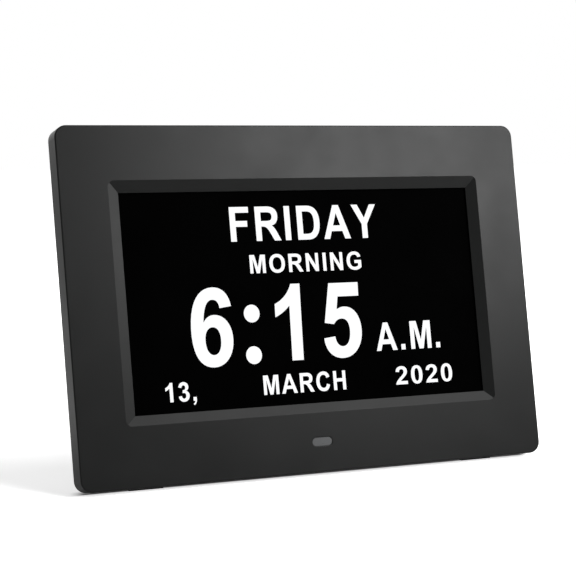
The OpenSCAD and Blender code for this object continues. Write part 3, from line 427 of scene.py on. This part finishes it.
# Each glyph's advance and its outline, in thousandths of the type size: M moves, L, H and V
# draw straight lines, C draws a curve and Z closes the loop. "o" is the colon's round dot.
GLYPHS = {
    "F": (611, "M73 0 V716 H564 V595 H218 V425 H516 V304 H218 V0 Z"),
    "I": (278, "M68 0 V716 H213 V0 Z"),
    "R": (722, "M73 0 V716 H377 C560 716 655 640 655 515 C655 400 590 335 490 318 "
               "C530 293 560 265 602 200 L719 0 H546 L458 140 C380 265 350 299 247 299 H218 V0 Z "
               "M218 413 H325 C440 413 505 420 505 506 C505 585 445 595 336 595 H218 Z"),
    "D": (722, "M72 716 H336 C560 716 668 590 668 355 C668 130 560 0 344 0 H72 Z "
               "M217 595 V121 H325 C460 121 518 190 518 358 C518 525 460 595 325 595 Z"),
    "A": (722, "M718 0 H560 L498 163 H211 L152 0 H-1 L279 716 H432 Z "
               "M451 283 L353 549 L256 283 Z"),
    "Y": (667, "M270 0 V301 L7 716 H177 L345 432 L511 716 H678 L415 300 V0 Z"),
    "M": (833, "M71 0 V716 H287 L417 228 L545 716 H762 V0 H628 V564 L486 0 H347 L205 564 V0 Z"),
    "O": (778, "M391 728 C600 728 739 590 739 358 C739 125 600 -12 391 -12 "
               "C182 -12 44 125 44 358 C44 590 182 728 391 728 Z "
               "M391 604 C275 604 193 520 193 358 C193 195 275 111 391 111 "
               "C508 111 590 195 590 358 C590 520 508 604 391 604 Z"),
    "N": (722, "M74 0 V716 H215 L508 238 V716 H642 V0 H497 L208 467 V0 Z"),
    "H": (722, "M73 0 V716 H218 V434 H501 V716 H646 V0 H501 V313 H218 V0 Z"),
    "G": (778, "M405 263 V384 H715 V100 C650 40 540 -12 418 -12 C200 -12 46 130 46 360 "
               "C46 585 200 728 402 728 C560 728 670 655 700 520 L558 493 "
               "C540 565 480 604 402 604 C280 604 195 520 195 365 C195 195 280 111 402 111 "
               "C470 111 530 135 567 165 V263 Z"),
    "C": (722, "M530 263 L670 219 C635 70 540 -12 390 -12 C190 -12 48 125 48 353 "
               "C48 590 190 728 400 728 C545 728 640 650 671 518 L526 483 "
               "C510 560 460 604 392 604 C280 604 197 530 197 363 C197 185 275 112 388 112 "
               "C460 112 510 160 530 263 Z"),
    "0": (556, "M276 719 C420 719 511 600 511 354 C511 110 420 -12 276 -12 "
               "C133 -12 42 110 42 354 C42 600 133 719 276 719 Z "
               "M276 607 C215 607 184 530 184 353 C184 175 215 100 276 100 "
               "C338 100 369 175 369 353 C369 530 338 607 276 607 Z"),
    "1": (556, "M393 0 H256 V517 C205 470 145 435 79 412 V536 C160 563 250 630 281 719 H393 Z"),
    "2": (556, "M506 128 V0 H25 C35 85 80 160 190 262 C300 362 365 430 365 503 "
               "C365 565 330 601 275 601 C215 601 180 565 175 492 L38 506 "
               "C52 645 140 719 278 719 C425 719 503 630 503 515 C503 400 430 330 330 240 "
               "C280 195 235 155 225 128 Z"),
    "3": (556, "M37 190 L170 206 C177 145 210 104 262 104 C320 104 358 148 358 215 "
               "C358 280 322 318 270 318 C248 318 230 315 207 308 L222 420 "
               "C300 418 338 455 338 512 C338 565 307 598 260 598 C212 598 180 565 172 508 "
               "L45 529 C66 655 145 719 264 719 C390 719 470 640 470 537 "
               "C470 465 430 415 365 385 C448 368 500 305 500 217 C500 85 400 -12 262 -12 "
               "C135 -12 50 70 37 190 Z"),
    "5": (556, "M45 184 L182 198 C189 140 225 100 273 100 C330 100 370 150 370 240 "
               "C370 325 330 365 275 365 C230 365 205 350 175 315 L63 331 L134 707 H499 V577 "
               "H239 L218 455 C250 470 280 478 312 478 C430 478 516 385 516 238 "
               "C516 95 415 -12 270 -12 C145 -12 57 60 45 184 Z"),
    "6": (556, "M511 541 L379 526 C372 580 343 606 299 606 C240 606 198 550 188 400 "
               "C222 448 262 466 312 466 C425 466 517 375 517 232 C517 85 420 -12 290 -12 "
               "C140 -12 45 100 45 347 C45 600 150 719 305 719 C415 719 490 655 511 541 Z "
               "M200 243 C200 150 240 100 293 100 C343 100 378 145 378 226 "
               "C378 312 340 355 288 355 C238 355 200 315 200 243 Z"),
    ".": (240, "M68 0 V140 H208 V0 Z"),
    ",": (240, "M62 0 V140 H202 V40 C202 -60 160 -130 85 -160 L58 -104 "
               "C105 -82 130 -50 132 0 Z"),
    "o": (256, "M128 256 C199 256 256 199 256 128 C256 57 199 0 128 0 "
               "C57 0 0 57 0 128 C0 199 57 256 128 256 Z"),
}
CAP = 716       # the height of a capital, in the same units


def contours(path):
    """The closed outlines of a glyph, each a list of (point, handle in, handle out)."""
    loops, loop, at = [], [], (0.0, 0.0)
    for word in path.replace("Z", " Z ").split():
        if word[0].isalpha():
            mode, numbers = word[0], []
            word = word[1:]
            if mode == "Z":
                loops.append(loop)
                continue
        if word:
            numbers.append(float(word))
        if mode in "ML" and len(numbers) == 2:
            at = tuple(numbers)
            numbers = []
            if mode == "M":
                loop = [[at, at, at]]
            else:
                loop.append([at, at, at])
        elif mode in "HV" and len(numbers) == 1:
            at = (numbers[0], at[1]) if mode == "H" else (at[0], numbers[0])
            numbers = []
            loop.append([at, at, at])
        elif mode == "C" and len(numbers) == 6:
            loop[-1][2] = (numbers[0], numbers[1])
            at = (numbers[4], numbers[5])
            loop.append([at, (numbers[2], numbers[3]), at])
            numbers = []
    for loop in loops:
        if loop[0][0] == loop[-1][0]:
            loop[0][1] = loop[-1][1]
            loop.pop()
    return loops


WELD = 1e-7     # metres


def outline_piece(name, shapes, matrix, thick_mm, body, look, detail=10):
    """A thin solid from 2-D outlines in mm on a plane, as one mesh riding on a body."""
    curve = bpy.data.curves.new(name, "CURVE")
    curve.dimensions = "2D"
    curve.fill_mode = "BOTH"
    curve.resolution_u = detail
    curve.extrude = thick_mm / 2 * MM
    for loop in shapes:
        spline = curve.splines.new("BEZIER")
        spline.bezier_points.add(len(loop) - 1)
        spline.use_cyclic_u = True
        for point, (at, before, after) in zip(spline.bezier_points, loop):
            point.handle_left_type = point.handle_right_type = "FREE"
            point.co = (at[0] * MM, at[1] * MM, 0)
            point.handle_left = (before[0] * MM, before[1] * MM, 0)
            point.handle_right = (after[0] * MM, after[1] * MM, 0)
    holder = bpy.data.objects.new(name + "_outline", curve)
    bpy.context.scene.collection.objects.link(holder)
    bpy.context.view_layer.update()
    mesh = bpy.data.meshes.new_from_object(
        holder.evaluated_get(bpy.context.evaluated_depsgraph_get()))
    bpy.data.objects.remove(holder)
    mesh.name = name
    tidy = bmesh.new()
    tidy.from_mesh(mesh)
    bmesh.ops.remove_doubles(tidy, verts=tidy.verts, dist=WELD)
    tidy.to_mesh(mesh)
    tidy.free()
    mesh.materials.clear()
    mesh.materials.append(look)
    piece = bpy.data.objects.new(name, mesh)
    bpy.context.scene.collection.objects.link(piece)
    piece.matrix_world = matrix
    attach(piece, body)


LIT = lit_look()
LETTER_T, LETTER_PROUD = 0.05, 0.01
LETTER_Y = GLASS_BACK - GLASS_T - LETTER_PROUD   # the middle of a character's thickness


def write(name, text, left, right, base, cap, wide=None, slant=0.0):
    """Characters between left and right on a base line, in mm from the screen's top left corner,
    with capitals cap mm tall. wide is the glyphs' own stretch, and what is left over goes
    between them. slant is how far a glyph leans to the right for its height."""
    tall = cap / CAP
    glyphs = [(GLYPHS[c][0], contours(GLYPHS[c][1])) for c in text]
    first = min(p[0][0] for loop in glyphs[0][1] for p in loop)
    last = max(p[0][0] for loop in glyphs[-1][1] for p in loop)
    pens, pen = [], 0.0
    for advance, _ in glyphs:
        pens.append(pen)
        pen += advance
    natural = pens[-1] + last - first
    stretch = (right - left) / natural
    gap = 0.0
    if wide is not None and len(text) > 1:
        stretch = wide * tall
        gap = (right - left - natural * stretch) / (len(text) - 1)
    shapes = []
    for i, (pen, (_, loops)) in enumerate(zip(pens, glyphs)):
        def place(p):
            y = p[1] * tall
            return (left + (pen + p[0] - first) * stretch + i * gap + slant * y - SCREEN[0] / 2,
                    SCREEN[1] / 2 - base + y)
        shapes += [[tuple(place(p) for p in corner) for corner in loop] for loop in loops]
    outline_piece(name, shapes, panel_matrix(0, LETTER_Y, 0), LETTER_T, "clock", LIT)


write("display_weekday", "FRIDAY", 52.5, 127.25, 23.1, 15.95, wide=0.8635)
write("display_day_part", "MORNING", 60.7, 117.4, 38.0, 8.5, wide=0.945)
write("display_hour", "6", 29.2, 49.3, 79.4, 35.6, slant=0.026)
write("display_colon_low", "o", 55.25, 63.0, 79.6, 22.9)
write("display_colon_high", "o", 55.75, 63.5, 60.5, 22.9)
write("display_minute_ten", "1", 70.7, 83.7, 79.0, 35.35, slant=0.026)
write("display_minute_one", "5", 94.75, 114.35, 78.7, 35.2, slant=0.026)
write("display_half_day_a", "A.", 121.7, 137.0, 77.0, 13.3, wide=0.828)
write("display_half_day_m", "M.", 140.1, 155.8, 77.0, 13.3, wide=0.856)
write("display_date", "13,", 15.2, 29.75, 94.35, 8.65, wide=0.92)
write("display_month", "MARCH", 62.6, 104.15, 94.0, 8.9, wide=0.88)
write("display_year", "2020", 130.4, 160.9, 93.5, 8.6, wide=1.078)


# ------------------------------------------------------------- marks on the keys

CIRCLE = 0.5523     # length of a curve's handles for a quarter circle of radius 1


def ring(cx, cy, r):
    k = CIRCLE * r
    return [((cx, cy + r), (cx - k, cy + r), (cx + k, cy + r)),
            ((cx + r, cy), (cx + r, cy + k), (cx + r, cy - k)),
            ((cx, cy - r), (cx + k, cy - r), (cx - k, cy - r)),
            ((cx - r, cy), (cx - r, cy - k), (cx - r, cy + k))]


def polygon(*points):
    return [(p, p, p) for p in points]


def bar(cx, cy, w, h):
    """A rectangle about a middle."""
    return polygon((cx - w / 2, cy - h / 2), (cx + w / 2, cy - h / 2),
                   (cx + w / 2, cy + h / 2), (cx - w / 2, cy + h / 2))


ARC_STEPS = 40


def arc_band(r_out, r_in, gap_deg):
    """An open ring with a gap at the top."""
    start, end = 90 + gap_deg / 2, 450 - gap_deg / 2
    angles = [math.radians(start + (end - start) * i / ARC_STEPS) for i in range(ARC_STEPS + 1)]
    outer = [(r_out * math.cos(a), r_out * math.sin(a)) for a in angles]
    inner = [(r_in * math.cos(a), r_in * math.sin(a)) for a in reversed(angles)]
    return polygon(*(outer + inner))


def arrow(turn_deg):
    """A triangle that points to the right before it is turned."""
    c, s = math.cos(math.radians(turn_deg)), math.sin(math.radians(turn_deg))
    points = [(1.15, 0.0), (-0.75, 1.15), (-0.75, -1.15)]
    return polygon(*[(x * c - y * s, x * s + y * c) for x, y in points])


# Outlines in mm about the middle of a key.
MARKS = {
    "power": [arc_band(1.25, 0.9, 70), bar(0, 0.95, 0.34, 1.3)],
    "menu": [bar(0, up, 2.3, 0.36) for up in (0.8, 0, -0.8)],
    "left": [arrow(180)],
    "up": [arrow(90)],
    "down": [arrow(270)],
    "right": [arrow(0)],
    "ok": [ring(0, 0, 1.2), ring(0, 0, 0.82)],
}
INK = moulded("key_ink", (0.52, 0.52, 0.51), rough=0.55, grain_mm=0.15, depth_mm=0.003,
              mottle=0.08)
MARK_T, MARK_SUNK = 0.12, 0.02

for key in KEY_NAMES:
    lo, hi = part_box(key + "_button")
    middle = (lo + hi) / 2
    outer = max(v.co @ DEPTH for v in NODES[key + "_button"].data.vertices)
    at = middle + DEPTH * (outer - middle @ DEPTH)
    seen = Matrix((-ACROSS, UPWARD, DEPTH)).transposed().to_4x4()
    seen.translation = at + DEPTH * (MARK_T / 2 - MARK_SUNK) * MM
    outline_piece(key + "_mark", MARKS[key], seen, MARK_T, key + "_key", INK,
                  detail=8)


# ------------------------------------------- eased rim of the sensor's opening

heights = [(v.co - CENTRE) @ UPWARD / MM for v in NODES["sensor_window"].data.vertices]
WINDOW_MIDDLE = (min(heights) + max(heights)) / 2
WINDOW_HALF = (5.35, 2.35)      # half the opening's width and height
RIM_IN, RIM_DEEP = 0.42, 0.36   # how far the rounding reaches inward and into the frame
RIM_SUNK = 0.002                # keeps the rim clear of the frame's own front
RIM_STEPS, RIM_POINTS = 5, 28


def oval(inward):
    """Points round the opening, with half circles at its ends."""
    r = WINDOW_HALF[1] - inward
    straight = WINDOW_HALF[0] - WINDOW_HALF[1]
    points = []
    for side in (1, -1):
        for i in range(RIM_POINTS + 1):
            a = math.pi * (i / RIM_POINTS - 0.5)
            points.append((side * (straight + r * math.cos(a)), side * r * math.sin(a)))
    return points


# A quarter round from the frame's front down to the window, closed behind by the opening's wall.
rim = bmesh.new()
loops = []
for step in range(RIM_STEPS + 2):
    turn = min(step, RIM_STEPS) / RIM_STEPS * math.pi / 2
    inward = RIM_IN * math.sin(turn) if step <= RIM_STEPS else 0.0
    deep = RIM_DEEP * (1 - math.cos(turn)) + RIM_SUNK
    loops.append([rim.verts.new((x * MM, y * MM, -deep * MM)) for x, y in oval(inward)])
for a, b in zip(loops, loops[1:] + loops[:1]):
    for i in range(len(a)):
        j = (i + 1) % len(a)
        rim.faces.new((a[i], a[j], b[j], b[i]))
bmesh.ops.recalc_face_normals(rim, faces=rim.faces)
mesh = bpy.data.meshes.new("window_rim")
rim.to_mesh(mesh)
rim.free()
mesh.materials.append(LOOKS["front_frame"])
window_rim = bpy.data.objects.new("window_rim", mesh)
window_rim.matrix_world = panel_matrix(0, 0, WINDOW_MIDDLE)
bpy.context.scene.collection.objects.link(window_rim)
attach(window_rim, "clock")


# ------------------------------------------------------------------ camera

PHOTO_SIZE = 576                # pixels
SHIFT_RIGHT, SHIFT_UP = -20, 60     # pixels
# Metres from CENTRE to the camera, along the camera's own axes.
CAMERA_LEFT, CAMERA_DOWN, CAMERA_BACK = 0.001108, 0.02424, 0.76868

AZ, EL = math.radians(-24.32), math.radians(7.427)
LEVEL = Vector((math.cos(AZ), math.sin(AZ), 0))
BACK = Vector((math.sin(AZ) * math.cos(EL), -math.cos(AZ) * math.cos(EL), math.sin(EL)))
RISE = BACK.cross(LEVEL)
camera = bpy.data.objects.new("camera", bpy.data.cameras.new("camera"))
camera.data.sensor_width = 36
camera.data.lens = 103.8
camera.data.clip_start = 0.01
camera.data.clip_end = 100
camera.data.shift_x = SHIFT_RIGHT / PHOTO_SIZE
camera.data.shift_y = SHIFT_UP / PHOTO_SIZE
spot = Matrix((LEVEL, RISE, BACK)).transposed().to_4x4()
spot.translation = CENTRE - LEVEL * CAMERA_LEFT - RISE * CAMERA_DOWN + BACK * CAMERA_BACK
camera.matrix_world = spot
bpy.context.scene.collection.objects.link(camera)
bpy.context.scene.camera = camera


# ------------------------------------------------------------------ lights

def area_light(name, at, aim, size, watts):
    """A round soft lamp, with its place, aim and width in metres."""
    lamp = bpy.data.lights.new(name, "AREA")
    lamp.shape = "DISK"
    lamp.size = size
    lamp.energy = watts
    holder = bpy.data.objects.new(name, lamp)
    holder.location = at
    holder.rotation_euler = (aim - at).to_track_quat("-Z", "Y").to_euler()
    bpy.context.scene.collection.objects.link(holder)


def mirror_from(point):
    """The way in which the camera's line of sight leaves the front face at a point."""
    sight = (spot.translation - point).normalized()
    face = -DEPTH
    return (2 * face.dot(sight) * face - sight).normalized()


# The key light is where the front face mirrors it to the camera, brightest at the upper right.
MIDDLE = Vector((0, 0, 0.08))
KEY_FAR = 0.75
bright = CENTRE + ACROSS * 0.046 + UPWARD * 0.083
area_light("key_light", bright + mirror_from(bright) * KEY_FAR, bright, 0.40, 6.95)
area_light("top_light", Vector((0.50, -0.45, 1.10)), Vector((0, 0, 0.05)), 0.8, 9.5)
area_light("side_light", Vector((0.98, -0.36, 0.42)), MIDDLE, 0.5, 4.6)
area_light("back_light", Vector((0.5, 1.1, 0.9)), MIDDLE, 0.8, 8.0)

WORLD_LIGHT, WORLD_SEEN = 0.3, 1.0
world = bpy.data.worlds.new("studio")
bpy.context.scene.world = world
sky = Graph(world, "ShaderNodeOutputWorld")
path = sky.add("ShaderNodeLightPath").outputs
mirrored = sky.maths("MAXIMUM", path["Is Glossy Ray"], path["Is Transmission Ray"])
seen_white = sky.maths("MAXIMUM", path["Is Camera Ray"], mirrored)
glow = sky.add("ShaderNodeBackground")
glow.inputs["Color"].default_value = (1, 1, 1, 1)
sky.link(sky.spread(seen_white, WORLD_LIGHT, WORLD_SEEN, start=0.0, end=1.0),
         glow.inputs["Strength"])
sky.link(glow.outputs["Background"], sky.out.inputs["Surface"])


# ------------------------------------------------------------------ floor

# White paper that keeps the clock's shadow. What the camera sees of it is lifted to white, more
# and more with the distance and evenly in front of the frame. In front the lift reaches 7 to 9 mm
# under the frame's front edge, painted light over the shade in the gap there. Only the strip
# right under the frame isn't lifted. Lengths here are in metres.
FLOOR_HALF = 6.0
FAR_LOW, FAR_FULL = 0.45, 1.05      # the lift near the clock and far from it
FAR_REACH = (0.22, 0.75)            # the distances at which it starts and stops growing
FRONT_LIFT = 0.75
FRONT_FADE = (0.0070, 0.0090)       # where it ends, behind the frame's front edge
STRIP_SIDE = (0.112, 0.118)         # where the strip fades out, to the sides of the middle
STRIP_REAR = (0.012, 0.016)         # and behind the frame's front edge

mesh = bpy.data.meshes.new("floor")
grid = bmesh.new()
bmesh.ops.create_grid(grid, x_segments=8, y_segments=8, size=FLOOR_HALF)
grid.to_mesh(mesh)
grid.free()
floor = bpy.data.objects.new("floor", mesh)
bpy.context.scene.collection.objects.link(floor)

g = material_graph("floor")
away = g.add("ShaderNodeVectorMath", operation="LENGTH")
g.link(g.coord(), away.inputs[0])
far_lift = g.spread(away.outputs["Value"], FAR_LOW, FAR_FULL, *FAR_REACH)
across, along = g.component(g.coord(), "X"), g.component(g.coord(), "Y")
front_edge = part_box("front_bezel")[0][1]
beside = g.spread(g.maths("ABSOLUTE", across, 0), 1.0, 0.0, *STRIP_SIDE)
behind = g.spread(along, 1.0, 0.0, *(front_edge + reach for reach in STRIP_REAR))
open_floor = g.spread(g.maths("MULTIPLY", beside, behind), 1.0, 0.0, start=0.0, end=1.0)
# Painted light: this lift also lightens the shade on the floor just under the frame's front edge.
front_lift = g.spread(along, FRONT_LIFT, 0.0, *(front_edge + reach for reach in FRONT_FADE))
lift = g.maths("MAXIMUM", front_lift, g.maths("MULTIPLY", far_lift, open_floor))
eye = g.add("ShaderNodeLightPath").outputs["Is Camera Ray"]
paper = g.noise(scale=40, detail=2)
white = g.surface(colour=g.ramp(paper, [(0.3, (0.90, 0.90, 0.90)), (0.7, (0.93, 0.93, 0.93))]),
                  rough=0.9, Specular_IOR_Level=0.0)
white.inputs["Emission Color"].default_value = (1, 1, 1, 1)
g.link(g.maths("MULTIPLY", lift, eye), white.inputs["Emission Strength"])
mesh.materials.append(g.owner)

bpy.context.scene.view_settings.view_transform = "Standard"
